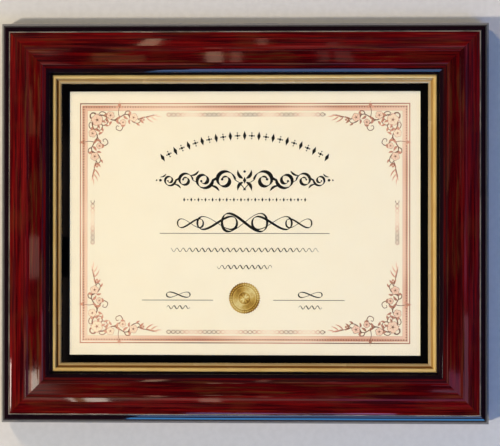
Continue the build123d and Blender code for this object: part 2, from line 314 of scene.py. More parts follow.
def mahogany_lacquer():
    """Mirror lacquer over red-stained wood, black on the bead and the nose, bare on the back.

    Painted shade darkens some sides, the scoop and the groove; a painted highlight lies on the arris.
    """
    material, tree, shader = new_finish("mahogany_lacquer")
    place, across, forward = section_place(tree)
    figure = streaks(tree, place, (0.014, 0.38, 0.0), 5.0)
    ribbon = streaks(tree, place, (0.045, 0.05, 0.0), 2.0, 7.3)
    flame = streaks(tree, place, (0.026, 0.9, 0.0), 3.0, 4.4)
    russet = streaks(tree, place, (0.02, 0.45, 0.0), 3.0, 8.8)
    thread = streaks(tree, place, (0.006, 1.7, 0.0), 3.0, 3.1)
    pores = streaks(tree, place, (0.09, 5.5, 0.0), 1.0, 5.7)
    russet_share = fade(tree, russet, 0.54, 0.7, 0.0, 0.7)
    russet_share = times(tree, russet_share, fade(tree, across, *russet_rise, 0.45, 1.0))
    side_shade_depth = put(tree, "Attribute", output="Fac", attribute_name="side_shade_depth")
    outer_black = fade(tree, across, outer_black_end, outer_black_end + masking_blur, 1.0, 0.0)
    nose_black = fade(tree, across, nose_black_start, nose_black_start + masking_blur)
    # Painted shade: a dark line in the groove, joined to the black of the bead and the nose.
    groove_shade_edges = (groove_place - groove_blur, groove_place), (groove_end - groove_blur, groove_end)
    black = sums(tree, "MAXIMUM", outer_black, nose_black)
    black = sums(tree, "MAXIMUM", black, stripe(tree, across, *groove_shade_edges, groove_shade))
    # Painted highlight: a pale line on the arris between the bead and the cushion, stronger and weaker along
    # it.
    highlight_strength = fade(tree, ribbon, 0.35, 0.6, 0.35, 0.95)
    arris_highlight = times(tree, stripe(tree, across, arris_highlight_rise, arris_highlight_fall), highlight_strength)
    front = layered(
        tree,
        mixed(tree, fade(tree, figure, 0.34, 0.66), srgb(56, 1, 6), srgb(114, 8, 8)),
        (
            (fade(tree, ribbon, 0.45, 0.72, 0.0, 0.45), srgb(96, 30, 14)),
            (russet_share, srgb(100, 56, 24)),
            (fade(tree, flame, 0.46, 0.64, 0.0, 0.46), srgb(36, 0, 5)),
            (fade(tree, thread, 0.46, 0.7, 0.0, 0.45), srgb(26, 0, 4)),
            (fade(tree, pores, 0.6, 0.78, 0.0, 0.5), srgb(22, 0, 3)),
            # Painted shade over a whole rail, by its side's amount.
            (side_shade_depth, srgb(30, 0, 3)),
            # Painted shade: the scoop, beyond the crest, is laid over with a darker red.
            (fade(tree, across, *scoop_shade_rise, 0.0, 0.3), srgb(26, 0, 4)),
            # Black lacquer on the bead and the nose, with the groove's painted shade.
            (black, srgb(22, 8, 15)),
            # The painted arris highlight.
            (arris_highlight, srgb(138, 128, 114)),
        ),
    )
    grain = streaks(tree, place, (0.012, 0.9, 0.0), 6.0, 1.3)
    wood = mixed(tree, fade(tree, grain, 0.3, 0.7), srgb(96, 66, 43), srgb(137, 101, 68))
    spray_edge = sums(tree, "ADD", across, times(tree, ribbon, 5.0))
    wood = mixed(tree, fade(tree, spray_edge, *overspray_fall, 0.85, 0.0), wood, srgb(24, 14, 14))
    bare = fade(tree, forward, *bare_fall, 1.0, 0.0)
    ripple = streaks(tree, place, (0.022, 0.11, 0.0), 1.0, 9.1)
    peel = streaks(tree, place, (0.45, 0.6, 0.6), 1.0, 2.9)
    relief = sums(tree, "ADD", ripple, times(tree, peel, 0.03))
    relief = sums(tree, "ADD", relief, times(tree, times(tree, grain, bare), 0.9))
    roughness = fade(tree, bare, 0.0, 1.0, 0.035, 0.62)
    fill(tree, shader, {"Base Color": mixed(tree, bare, front, wood), "Roughness": roughness})
    raised(tree, shader, relief, 0.06 * mm)
    return material


lacquer = mahogany_lacquer()
for side, tone in side_shade_tones.items():
    name = f"lacquered_rail_{side}"
    rail = mitred_length(name, side, rail_outline(), rail_steps, rail_crease, lacquer)
    mark(rail, "side_shade_depth", [tone] * len(rail.data.vertices))
    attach(rail, "frame")
    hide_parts(f"rail_{side}")

# V nails: small V fasteners of folded, plated steel, two on each mitre.
# A press drives them into the back of the rails across the joint, until they are flush with the wood.


def zinc_plate():
    """Bright zinc plate on stamped steel, with a faint blue and yellow bloom and fine scuffs."""
    material, tree, shader = new_finish("zinc_plate")
    place = put(tree, "TexCoord", output="Object")
    bloom = streaks(tree, place, (90, 90, 90), 3.0)
    scuffs = streaks(tree, place, (900, 2600, 900), 2.0, 4.0)
    plate = mixed(tree, fade(tree, bloom, 0.35, 0.65), srgb(186, 189, 194), srgb(203, 199, 184))
    plate = mixed(tree, fade(tree, scuffs, 0.55, 0.8, 0.0, 0.5), plate, srgb(138, 138, 140))
    roughness = fade(tree, scuffs, 0.3, 0.8, 0.24, 0.42)
    fill(tree, shader, {"Base Color": plate, "Roughness": roughness, "Metallic": 1.0})
    raised(tree, shader, scuffs, 0.02 * mm)
    return material


zinc = zinc_plate()
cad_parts["corner_v_nails"].data.materials[0] = zinc

# Slips: a narrow gilt moulding glued into the rabbet of each rail, round the sight edge. It is wood with
# burnished metal leaf: a round bead, a hollow and a flatter lip that the glazing seats against. Painted
# shade darkens the hollow, deeper on some lengths than on others, and the lip a little with it, and
# painted shade blackens the flange down in the quirk.
slip_leg_outside, slip_leg_inside = 33.65, 36.05
slip_setback, slip_flange_front, slip_back = 0.4, 12.5, 9.6
slip_bead_start, slip_bead_width, slip_bead_spring = 37.6, 2.8, 15.8
slip_groove_width, slip_groove_front, slip_groove_hollow = 1.5, 14.3, 0.4
slip_lip_width, slip_lip_front, slip_lip_crown = 1.8, 13.9, 0.25
slip_groove_start = slip_bead_start + slip_bead_width
slip_lip_start = slip_groove_start + slip_groove_width
face_width = slip_lip_start + slip_lip_width
gilding_passes = 3
slip_steps, slip_crease = 12, radians(45)
# Painted shade in each slip's hollow: deepest on the left and the bottom, lightest on the right and the top.
hollow_shade_depths = {"bottom": 0.95, "right": 0.56, "top": 0.64, "left": 1.0}
hollow_shade_rise = (slip_groove_start - 0.35, slip_groove_start + 0.35)
hollow_shade_fall = (slip_lip_start - 0.2, slip_lip_start + 0.5)
lip_rise = (slip_lip_start + 0.1, slip_lip_start + 0.6)
leaf_rise = (slip_bead_start - 0.1, slip_bead_start + 0.3)


def slip_outline():
    """The slip's closed section: leg and flange, then bead, hollow and lip, then its back."""
    crest_point = (slip_bead_start + slip_bead_width / 2, slip_bead_spring + slip_bead_width / 2)
    line = [(slip_bead_start, slip_flange_front), (slip_bead_start, slip_bead_spring)]
    line += arc(line[-1], crest_point, (slip_groove_start, slip_bead_spring))
    line += crowned(line[-1], (slip_lip_start, slip_groove_front), -slip_groove_hollow)
    line += crowned(line[-1], (face_width, slip_lip_front), slip_lip_crown)
    line.append((face_width, slip_back))
    front = eased(evenly(line, contour_spacing), gilding_passes)
    leg = [(slip_leg_inside, slip_back), (slip_leg_inside, slip_setback)]
    leg += [(slip_leg_outside, slip_setback), (slip_leg_outside, slip_flange_front)]
    return front + leg


def gilt():
    """Burnished leaf, rubbed here and there, with painted shade in the hollow and on the flange in the
    quirk.
    """
    material, tree, shader = new_finish("gilt")
    place, across, _ = section_place(tree)
    leafing = streaks(tree, place, (0.03, 0.25, 0.25), 3.0)
    rub = streaks(tree, place, (0.12, 1.1, 1.1), 4.0, 6.1)
    hollow_shade = put(tree, "Attribute", output="Fac", attribute_name="hollow_shade_depth")
    # The lip darkens with the hollow's painted shade.
    shaded_lip_tone = mixed(tree, fade(tree, hollow_shade, 0.5, 1.0), srgb(180, 162, 128), srgb(150, 126, 86))
    # Painted shade: the flange, down in the quirk behind the bead, is near-black and not metallic.
    flange = fade(tree, across, *leaf_rise, 1.0, 0.0)
    gold = layered(
        tree,
        mixed(tree, fade(tree, leafing, 0.35, 0.65), srgb(222, 182, 106), srgb(237, 202, 126)),
        (
            # Painted shade in the hollow, by its side's amount.
            (times(tree, stripe(tree, across, hollow_shade_rise, hollow_shade_fall), hollow_shade), srgb(110, 62, 8)),
            (fade(tree, across, *lip_rise, 0.0, 0.8), shaded_lip_tone),
            (fade(tree, rub, 0.68, 0.84, 0.0, 0.35), srgb(150, 86, 40)),
            (flange, srgb(9, 6, 6)),
        ),
    )
    roughness = fade(tree, leafing, 0.3, 0.8, 0.2, 0.3)
    metallic = fade(tree, flange, 0.0, 1.0, 0.25, 0.0)
    fill(tree, shader, {"Base Color": gold, "Roughness": roughness, "Metallic": metallic})
    raised(tree, shader, leafing, 0.02 * mm)
    return material


gilding = gilt()
for side, hollow_shade_depth in hollow_shade_depths.items():
    name = f"gilt_slip_{side}"
    slip = mitred_length(name, side, slip_outline(), slip_steps, slip_crease, gilding)
    mark(slip, "hollow_shade_depth", [hollow_shade_depth] * len(slip.data.vertices))
    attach(slip, "frame")
    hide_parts(f"slip_{side}")

# Glazing: one sheet of clear polished glass with seamed edges, laid into the slip from behind.
# It is loose between the slip's lip and the mat, and the boards behind it press it forward.


def clear_glazing():
    """Clear sheet that mirrors a little at a slant and lets lamp light through to the paper."""
    material, tree, shader = new_finish("clear_glazing")
    tree.nodes.remove(shader)
    through = put(tree, "BsdfTransparent", {"Color": (0.985, 0.992, 0.988, 1.0)})
    mirror = put(tree, "BsdfGlossy", {"Color": (1.0, 1.0, 1.0, 1.0), "Roughness": 0.0})
    inner_face = put(tree, "NewGeometry", output="Backfacing")
    lamp_light = put(tree, "LightPath", output="Is Shadow Ray")
    clear = sums(tree, "MAXIMUM", inner_face, lamp_light)
    share = put(tree, "Fresnel", {"IOR": 1.45})
    share = times(tree, share, sums(tree, "SUBTRACT", 1.0, clear))
    pane = put(tree, "MixShader", {0: share, 1: through, 2: mirror})
    fill(tree, tree.nodes["Material Output"], {"Surface": pane})
    return material


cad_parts["glazing"].data.materials[0] = clear_glazing()

# Mat: a black card window mount with a bevelled edge, cut from solid-core board.
# It lies between the glazing and the certificate, and shows as a thin black border.


def black_mat():
    """Uncoated black card with a fine paper tooth."""
    material, tree, shader = new_finish("black_mat")
    place = put(tree, "TexCoord", output="Object")
    tooth = streaks(tree, place, (2200, 2200, 2200), 3.0)
    card_black = mixed(tree, tooth, srgb(3, 3, 4), srgb(8, 8, 9))
    fill(tree, shader, {"Base Color": card_black, "Roughness": 0.92, "Specular IOR Level": 0.08})
    raised(tree, shader, tooth, 0.06 * mm)
    return material


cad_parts["mat"].data.materials[0] = black_mat()

# Certificate: a sheet of heavy cream paper, printed in rose and black before it was framed.
# The printing follows in sections of its own.


def cream_paper():
    """Warm cream stock with a soft cloudiness and short fibres."""
    material, tree, shader = new_finish("cream_paper")
    place = put(tree, "TexCoord", output="Object")
    cloud = streaks(tree, place, (60, 60, 60), 3.0)
    fibre = streaks(tree, place, (700, 700, 2400), 4.0, 8.0)
    stock = mixed(tree, fade(tree, cloud, 0.3, 0.7), srgb(248, 236, 210), srgb(247, 234, 207))
    stock = mixed(tree, fade(tree, fibre, 0.55, 0.8, 0.0, 0.35), stock, srgb(243, 229, 199))
    fill(tree, shader, {"Base Color": stock, "Roughness": 0.85, "Specular IOR Level": 0.2})
    raised(tree, shader, fibre, 0.03 * mm)
    return material


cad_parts["certificate"].data.materials[0] = cream_paper()

# Border printing: a fine outer line, a tinted band with a row of dots, and a hairline inside it.
# It is printed in rose-gold ink, which stands a fraction of a millimetre proud of the paper.
paper_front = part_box("certificate")[0].y / mm
ink_sink, stroke_step, stroke_rise, finest_stroke = 0.02, 0.0004, 0.02, 0.05
tint_lift, line_lift = 0.004, 0.03
line_half_width, line_half_height, line_width, line_shade = 120.3, 87.4, 0.8, 0.8
band_start, band_end, hairline_width, hairline_shade = 1.25, 5.0, 0.28, 0.55
tint_strips, tint_shade, tint_fading, tint_cover = 12, 0.5, 0.2, 0.98
dot_inset, dot_pitch, dot_radius, dot_shade = 2.4, 1.9, 0.5, 0.95
rule_spans = 24


def inked(name, strokes, lift, finish):
    """Closed thin mesh of pen strokes on the paper: each is a line, its widths and its shades.

    Each stroke lies a little above the last and rises along its length, so that no two share a plane.
    """
    points, faces, shades = [], [], []
    for order, (line, widths, tones) in enumerate(strokes):
        base, last = len(points), len(line) - 1
        for i, (x, z) in enumerate(line):
            (ax, az), (bx, bz) = line[max(i - 1, 0)], line[min(i + 1, last)]
            length = hypot(bx - ax, bz - az)
            side_x, side_z = (az - bz) / length, (bx - ax) / length
            half = max(widths[i], finest_stroke) / 2
            height = lift + stroke_step * order + stroke_rise * i / last
            for y in (paper_front - height, paper_front + ink_sink):
                for sign in (1, -1):
                    off_x, off_z = sign * half * side_x, sign * half * side_z
                    points.append(((x + off_x) * mm, y * mm, centre_z + (z + off_z) * mm))
            shades += [tones[i]] * 4
        ring = (0, 1, 3, 2)
        for i in range(last):
            near, far = base + 4 * i, base + 4 * i + 4
            for j in range(4):
                k = (j + 1) % 4
                faces.append((near + ring[j], near + ring[k], far + ring[k], far + ring[j]))
        faces.append(tuple(base + j for j in reversed(ring)))
        faces.append(tuple(base + 4 * last + j for j in ring))
    made = new_piece(name, points, faces, finish)
    mark(made, "shade", shades)
    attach(made, "frame")


def plain(line, width, shade):
    """A stroke of one width and one shade."""
    return line, [width] * len(line), [shade] * len(line)


def dot(x, z, radius, shade):
    """A round spot."""
    turns = [pi * i / 8 for i in range(9)]
    line = [(x - radius * cos(t), z) for t in turns]
    return line, [2 * radius * sin(t) for t in turns], [shade] * len(turns)


def rose_ink():
    """Rose-gold printing ink, from pale tint to brown line, with the drift of a metallic print."""
    material, tree, shader = new_finish("rose_ink")
    place = put(tree, "TexCoord", output="Object")
    shade = put(tree, "Attribute", output="Fac", attribute_name="shade")
    drift = streaks(tree, place, (15, 15, 15), 1.0, 2.2)
    depth = sums(tree, "ADD", shade, fade(tree, drift, 0.3, 0.7, -0.16, 0.16))
    ink = mixed(tree, fade(tree, depth, 0.0, 0.35), srgb(253, 233, 200), srgb(244, 205, 176))
    ink = mixed(tree, fade(tree, depth, 0.3, 0.65), ink, srgb(214, 150, 122))
    ink = mixed(tree, fade(tree, depth, 0.6, 1.0), ink, srgb(122, 82, 62))
    fill(tree, shader, {"Base Color": ink, "Roughness": 0.55, "Specular IOR Level": 0.3})
    return material


rose = rose_ink()


def ruled_box(half_width, half_height, width, shade):
    """Four ruled strokes round a rectangle, lapped at its corners."""
    over = width / 2
    shares = [i / rule_spans for i in range(rule_spans + 1)]
    runs = [-half_width - over + (2 * half_width + width) * share for share in shares]
    drops = [-half_height + over + (2 * half_height - width) * share for share in shares]
    strokes = []
    for sign in (1, -1):
        strokes.append(plain([(x, sign * half_height) for x in runs], width, shade))
        strokes.append(plain([(sign * half_width, z) for z in drops], width, shade))
    return strokes


strip_width = (band_end - band_start) / tint_strips
border_tint = []
for strip in range(tint_strips):
    inset = band_start + (strip + 0.5) * strip_width
    strip_shade = tint_shade - tint_fading * strip / (tint_strips - 1)
    strip_half_width, strip_half_height = line_half_width - inset, line_half_height - inset
    border_tint += ruled_box(strip_half_width, strip_half_height, strip_width * tint_cover, strip_shade)
inked("border_tint", border_tint, tint_lift, rose)
band_half_width, band_half_height = line_half_width - band_end, line_half_height - band_end
border_lines = ruled_box(line_half_width, line_half_height, line_width, line_shade)
border_lines += ruled_box(band_half_width, band_half_height, hairline_width, hairline_shade)
inked("border_lines", border_lines, line_lift, rose)
border_dots = []
dotted_width, dotted_height = line_half_width - dot_inset, line_half_height - dot_inset
for sign in (1, -1):
    count = int(2 * dotted_width / dot_pitch)
    for i in range(count + 1):
        run = dotted_width * (2 * i / count - 1)
        border_dots.append(dot(run, sign * dotted_height, dot_radius, dot_shade))
    count = int(2 * dotted_height / dot_pitch)
    for i in range(1, count):
        run = dotted_height * (2 * i / count - 1)
        border_dots.append(dot(sign * dotted_width, run, dot_radius, dot_shade))
inked("border_dots", border_dots, line_lift, rose)

# Corner sprays: a leafy vine with blossoms, tendrils and berries, which runs both ways from each corner.
# They are printed in the same rose ink, and the twigs of berries cross the band. Places on a spray are
# distances along the border from its corner and in from the border, before scaling.
spray_corner = (band_half_width - 0.7, band_half_height - 0.3)
spray_scale, spray_lift = 0.88, 0.05
vine_widths, tendril_widths, twig_widths = (1.1, 0.45), (0.85, 0.45), (0.6, 0.4)
vine_shade, tendril_shade, twig_shade, leaf_shade, petal_shade = 1.0, 0.95, 0.9, 0.6, 0.2
sheaf_width, sheaf_bend, sheaf_shade, sheaf_fading = 1.05, 0.08, 0.56, 0.06
leaf_steps, leaf_fading = 8, 0.12
petal_count, petal_reaches, petal_widths = 5, (0.12, 0.35, 0.6, 0.82, 1.0), (0.2, 0.72, 0.98, 0.85, 0.3)
petal_deepening = (0.14, 0, 0, 0, 0.1)
rim_steps, rim_spread, rim_width, rim_shade = 6, 68, 0.34, 0.78
stamen_reaches, stamen_widths, stamen_shade = (0.1, 0.35, 0.58), (0.3, 0.14), 0.8
eye_share, eye_shade = 0.19, 0.92
vine_start = [(3.4, 9.4), (6.0, 5.4), (11, 3.4), (16, 5.2), (21, 7.6), (26, 5.4)]
vine_end = [(31, 2.8), (36.5, 4.4), (42, 6.6), (48, 5.0), (55, 3.2)]
twig = [(26, 5.4), (25.2, 1.0), (26.0, -3.8)]
tendrils = (
    [(11, 3.9), (9.8, 8.2), (11.6, 11.6), (15.0, 11.4), (16.0, 8.6), (14.0, 7.3), (12.7, 8.8)],
    [(21, 7.3), (25.4, 9.6), (28.8, 13.0), (26.8, 16.4), (23.4, 15.0), (23.8, 12.4), (25.6, 12.8)],
    [(33.6, 3.4), (36.8, 8.6), (41.2, 10.2), (43.4, 8.2), (41.6, 6.9)],
    [(4.4, 7.6), (1.8, 4.6), (3.0, 1.6), (6.0, 1.8), (6.2, 4.0)],
    [(15.6, 5.0), (14.2, 1.6), (11.4, 0.6), (9.4, 1.8), (10.2, 3.0)],
    [(30.4, 3.0), (31.6, 0.4), (34.6, 0.2), (35.4, 1.8)],
)
# Leaves and the sheaf at the end: a place, a turn in degrees, a length and, for a leaf, a width
leaves = (
    (12.5, 3.8, -30, 5.0, 2.0),
    (15.0, 5.0, 62, 5.6, 2.2),
    (22.8, 6.8, -34, 5.2, 2.0),
    (24.2, 6.2, 74, 5.0, 2.1),
    (29.4, 3.6, 38, 5.2, 2.0),
    (32.8, 3.0, -36, 3.8, 1.6),
    (42.6, 6.4, -24, 4.8, 1.7),
    (43.6, 6.4, 52, 5.0, 1.8),
    (8.4, 10.6, 70, 4.4, 1.9),
    (13.6, 10.8, 20, 4.2, 1.7),
    (19.8, 8.6, 118, 4.2, 1.8),
    (27.2, 12.2, -8, 4.0, 1.6),
    (34.2, 7.0, 80, 4.2, 1.7),
    (40.2, 9.8, 34, 4.0, 1.5),
    (6.6, 4.6, -58, 3.4, 1.5),
)
sheaf = (
    (47.6, 5.2, -16, 6.4),
    (48.2, 5.0, 34, 8.2),
    (51.4, 4.2, -14, 6.6),
    (52.0, 4.2, 30, 7.6),
    (55.0, 3.2, 12, 6.8),
)
# Blossoms and berries: a place, a radius, a blossom's turn in radians, and a shade
blossoms = (
    (18.6, 3.6, 3.2, 0.4, petal_shade),
    (29.0, 9.4, 2.5, 1.0, petal_shade + 0.04),
    (37.8, 5.4, 3.4, 0.1, petal_shade),
)
berries = (
    (26.0, -4.7, 1.35, 0.66),
    (24.2, -3.3, 0.95, 0.5),
    (27.7, -3.1, 0.95, 0.5),
    (26.1, -7.4, 0.36, 0.55),
    (46.2, 7.4, 0.9, 0.6),
    (34.6, 1.0, 0.85, 0.6),
)
corner_blossom = (7.4, 7.4, 4.7, radians(45), petal_shade)


def smooth_line(points, steps=8):
    """A smooth line through a few points."""
    padded = [points[0], *points, points[-1]]
    made = []
    for a, b, c, d in zip(padded, padded[1:], padded[2:], padded[3:]):
        for i in range(steps):
            t = i / steps
            weights = (
                -0.5 * t + t * t - 0.5 * t**3,
                1 - 2.5 * t * t + 1.5 * t**3,
                0.5 * t + 2 * t * t - 1.5 * t**3,
                -0.5 * t * t + 0.5 * t**3,
            )
            made.append(tuple(sum(w * p[k] for w, p in zip(weights, (a, b, c, d))) for k in (0, 1)))
    return made + [points[-1]]


def tapered(line, start, end, shade):
    """A stroke that thins evenly."""
    last = len(line) - 1
    return line, [start + (end - start) * i / last for i in range(last + 1)], [shade] * (last + 1)


def leaf(x, z, angle, length, width, shade, bend=0.12):
    """A pointed leaf from its stalk, bent a little to one side."""
    shares = [i / leaf_steps for i in range(leaf_steps + 1)]
    line = []
    for t in shares:
        out, off = length * t, bend * length * sin(pi * t)
        line.append((x + out * cos(angle) - off * sin(angle), z + out * sin(angle) + off * cos(angle)))
    widths = [width * sin(pi * t**0.8) ** 0.9 for t in shares]
    return line, widths, [shade + leaf_fading * (1 - t) for t in shares]


def blossom(x, z, radius, turn, shade):
    """Five rounded petals with a darker rim on each, stamens and an eye."""
    strokes = []
    angles = [turn + tau * petal / petal_count for petal in range(petal_count)]
    for angle in angles:
        line = [(x + radius * t * cos(angle), z + radius * t * sin(angle)) for t in petal_reaches]
        widths = [radius * w for w in petal_widths]
        strokes.append((line, widths, [shade + deeper for deeper in petal_deepening]))
    for angle in angles:
        rim = []
        for i in range(rim_steps + 1):
            spread = radians(-rim_spread / 2 + rim_spread * i / rim_steps)
            reach = radius * (0.84 + 0.2 * cos(spread * 2.4))
            rim.append((x + reach * cos(angle + spread), z + reach * sin(angle + spread)))
        strokes.append(plain(rim, rim_width, rim_shade))
        stamen = [(x + radius * t * cos(angle), z + radius * t * sin(angle)) for t in stamen_reaches]
        strokes.append(tapered(stamen, *stamen_widths, stamen_shade))
    strokes.append(dot(x, z, radius * eye_share, eye_shade))
    return strokes


def half_spray():
    """One run of the vine, away from the corner."""
    strokes = [tapered(smooth_line(vine_start + vine_end), *vine_widths, vine_shade)]
    for tendril in tendrils:
        strokes.append(tapered(smooth_line(tendril), *tendril_widths, tendril_shade))
    for x, z, degrees, length, width in leaves:
        strokes.append(leaf(x, z, radians(degrees), length, width, leaf_shade))
    for step, (x, z, degrees, length) in enumerate(sheaf):
        shade = sheaf_shade - sheaf_fading * step
        strokes.append(leaf(x, z, radians(degrees), length, sheaf_width, shade, sheaf_bend))
    for x, z, radius, turn, shade in blossoms:
        strokes += blossom(x, z, radius, turn, shade)
    strokes.append(tapered(smooth_line(twig), *twig_widths, twig_shade))
    for x, z, radius, shade in berries:
        strokes.append(dot(x, z, radius, shade))
    return strokes


spray = half_spray()
spray += [([(b, a) for a, b in line], widths, tones) for line, widths, tones in spray]
spray += blossom(*corner_blossom)
for across_sign, across_name in ((-1, "left"), (1, "right")):
    for up_sign, up_name in ((1, "top"), (-1, "bottom")):
        placed = []
        for line, widths, tones in spray:
            spots = []
            for a, b in line:
                x, z = spray_corner[0] - spray_scale * a, spray_corner[1] - spray_scale * b
                spots.append((across_sign * x, up_sign * z))
            placed.append((spots, [spray_scale * w for w in widths], tones))
        inked(f"spray_{up_name}_{across_name}", placed, spray_lift, rose)

# Edge braids: two strands in a plait along the middle of each side, printed in the same ink.
# Their tone comes and goes along the plait.
braid_loop, braid_reach, braid_width, braid_step = 3.3, 1.3, 0.46, 0.3
braid_bead, tone_start, tone_length = 0.22, 5, 28
strand_tone, strand_swing, bead_tone, bead_swing = 0.62, 0.36, 0.5, 0.3
level_ends, level_place = (-57, 59), 79.4
upright_ends, upright_place = (-15.5, 16.5), 111.3


def braid(start, end, level, runs_up):
    """Two crossing strands with a bead in each loop, dark and pale by turns."""
    strokes = []
    steps = int((end - start) / braid_step)
    for phase in (0, pi):
        line, tones = [], []
        for i in range(steps + 1):
            run = start + (end - start) * i / steps
            swing = braid_reach * sin(pi * (run - start) / braid_loop + phase)
            line.append((level + swing, run) if runs_up else (run, level + swing))
            tones.append(strand_tone + strand_swing * cos(tau * (run - start - tone_start) / tone_length))
        strokes.append((line, [braid_width] * len(line), tones))
    for loop in range(int((end - start) / braid_loop)):
        run = start + (loop + 0.5) * braid_loop
        shade = bead_tone + bead_swing * cos(tau * (run - start - tone_start) / tone_length)
        x, z = (level, run) if runs_up else (run, level)
        strokes.append(dot(x, z, braid_bead, shade))
    return strokes


level_braids = braid(*level_ends, level_place, False) + braid(*level_ends, -level_place, False)
inked("braids_level", level_braids, line_lift, rose)
upright_braids = braid(*upright_ends, -upright_place, True) + braid(*upright_ends, upright_place, True)
inked("braids_upright", upright_braids, line_lift, rose)

# Penwork: an arched row of lozenges, a scrolled heading, and loops, waves and rules below it.
# It is plain ornament in black ink, as a writing master would draw it with a broad nib.
nib_angle, upright_turn = radians(35), radians(90)
arch_top, arch_end, arch_half_width, arch_count = 64.0, 48.0, 60.0, 25
arch_lozenge = (6.6, 2.6)
arch_dots = ((0, 0, 0.95), (2.0, 0, 0.5), (-2.0, 0, 0.5), (0, 1.6, 0.5), (0, -1.6, 0.5))
heading_level, row_level, loop_level, rule_level = 31.4, 17.2, 0.6, -7.4
long_wave_level, short_wave_level = -19.5, -32.0
foot_loop_level, foot_rule_level, foot_wave_level = -52.2, -56.2, -61.4
# Scrolls on the right half: a place and a radius. Tails, thick strokes, knobs and sprigs are shares of it
scrolls = ((14.5, 7.8), (30.0, 6.9), (43.6, 5.9), (55.0, 4.7))
scroll_steps, scroll_start, scroll_turn, scroll_winding = 60, radians(180), radians(520), 0.74
scroll_thin, scroll_thick, knob_share = 0.4, 0.36, 0.12
tail_foot, tail_knee, tail_steps = (2.0, 0.95), (1.35, 0.2), 10
sprig_place, sprig_lean, sprig_size, sprig_bend = (0.5, 1.02), radians(28), (1.1, 0.22), 0.16
# Middle and ends of the heading
middle_lozenge, middle_dot_reach, middle_dot_radius = (5.0, 2.6), 6.4, 0.9
middle_leaf_place, middle_leaf_lean, middle_leaf_size = (1.0, 1.2), radians(58), (7.6, 2.3)
middle_leaf_bend = 0.18
end_dots = ((61.6, 1.0), (64.4, 0.6))
# Row of small lozenges and dots, and rules
row_count, row_pitch, row_lozenge, row_dot_radius, row_dot_shade = 35, 2.6, (3.0, 1.5), 0.5, 0.95
rule_width, rule_lift, rule_half_width, rule_shade = 0.5, 0.02, 62, 0.45
foot_rule_places, foot_rule_half_width, foot_rule_shade = (-49, 47), 26, 0.5
# Loops: a side loop's place, then half a width, half a height, and the thin and thick of the nib
eight_steps, eight_start = 72, 0.4
middle_loop, foot_loop = (16.5, 6.6, 0.45, 2.0), (8.6, 1.9, 0.3, 1.0)
side_loops = ((20.0, -0.4, 14.5, 4.7, 0.4, 1.75), (39.6, -0.6, 9.4, 3.2, 0.36, 1.3))
# Waves: half a width, the reach, the length of one wave and the thick of the nib
wave_step, wave_thin, wave_shade = 0.22, 0.25, 0.85
long_wave, short_wave, foot_wave = (54, 1.35, 4.6, 0.85), (20, 1.35, 4.4, 0.85), (8.4, 1.2, 4.2, 0.8)
foot_places = (-48.4, 48.0)


def black_ink():
    """Dense black printing ink with a little mottle and a low sheen."""
    material, tree, shader = new_finish("black_ink")
    place = put(tree, "TexCoord", output="Object")
    shade = put(tree, "Attribute", output="Fac", attribute_name="shade")
    mottle = streaks(tree, place, (2500, 2500, 2500), 2.0)
    ink = mixed(tree, fade(tree, mottle, 0.35, 0.7), srgb(16, 17, 15), srgb(30, 31, 27))
    ink = mixed(tree, shade, srgb(150, 143, 120), ink)
    fill(tree, shader, {"Base Color": ink, "Roughness": 0.6, "Specular IOR Level": 0.3})
    return material


black = black_ink()


def nib_stroke(line, thin, thick, shade=1.0):
    """A stroke whose width follows its direction, as a broad nib leaves it, with fine ends."""
    last = len(line) - 1
    widths = []
    for i in range(last + 1):
        (ax, az), (bx, bz) = line[max(i - 1, 0)], line[min(i + 1, last)]
        share = abs(sin(atan2(bz - az, bx - ax) - nib_angle))
        ends = min(1.0, 5 * i / last, 5 * (last - i) / last)
        widths.append(thin + (thick - thin) * share * ends)
    return line, widths, [shade] * (last + 1)


def lozenge(x, z, angle, length, width):
    """A pointed lozenge."""
    shares = (-1, -0.5, 0, 0.5, 1)
    line = [(x + length / 2 * t * cos(angle), z + length / 2 * t * sin(angle)) for t in shares]
    return line, [width * (1 - abs(t)) for t in shares], [1.0] * len(shares)


def scroll(x, z, radius, start, turn, tail):
    """A spiral that winds in from the end of a tail."""
    line = list(tail)
    for i in range(scroll_steps + 1):
        t = i / scroll_steps
        reach = radius * (1 - scroll_winding * t**0.8)
        angle = start + turn * t
        line.append((x + reach * cos(angle), z + reach * sin(angle)))
    return line


def eight(x, z, half_width, half_height, thin, thick):
    """A lying figure of eight."""
    line = []
    for i in range(eight_steps + 1):
        t = tau * i / eight_steps
        swing = half_height * sin(2 * t + 2 * eight_start)
        line.append((x + half_width * sin(t + eight_start), z + swing))
    return nib_stroke(line, thin, thick)


def wave(x, z, half_width, reach, length, thick):
    """A small regular wave."""
    count = int(2 * half_width / wave_step)
    runs = [-half_width + 2 * half_width * i / count for i in range(count + 1)]
    line = [(x + run, z + reach * sin(tau * run / length)) for run in runs]
    return nib_stroke(line, wave_thin, thick, wave_shade)


def rule(x, z, half_width, shade):
    """A fine straight rule."""
    return plain([(x + run, z) for run in (-half_width, 0, half_width)], rule_width, shade)


def mirrored(strokes):
    """The same strokes and their mirror images across the middle of the sheet."""
    return strokes + [([(-x, z) for x, z in line], widths, tones) for line, widths, tones in strokes]


sagitta = arch_top - arch_end
arch_radius = (arch_half_width**2 + sagitta**2) / (2 * sagitta)
arch_sweep = atan2(arch_half_width, arch_radius - sagitta)
arch_row = []
for i in range(arch_count):
    lean = arch_sweep * (2 * i / (arch_count - 1) - 1)
    x, z = arch_radius * sin(lean), arch_top - arch_radius * (1 - cos(lean))
    if i % 2 == 0:
        arch_row.append(lozenge(x, z, upright_turn - lean, *arch_lozenge))
        continue
    for out, over, radius in arch_dots:
        spot_x = x + out * sin(lean) + over * cos(lean)
        spot_z = z + out * cos(lean) - over * sin(lean)
        arch_row.append(dot(spot_x, spot_z, radius, 1.0))
inked("arched_row", arch_row, line_lift, black)

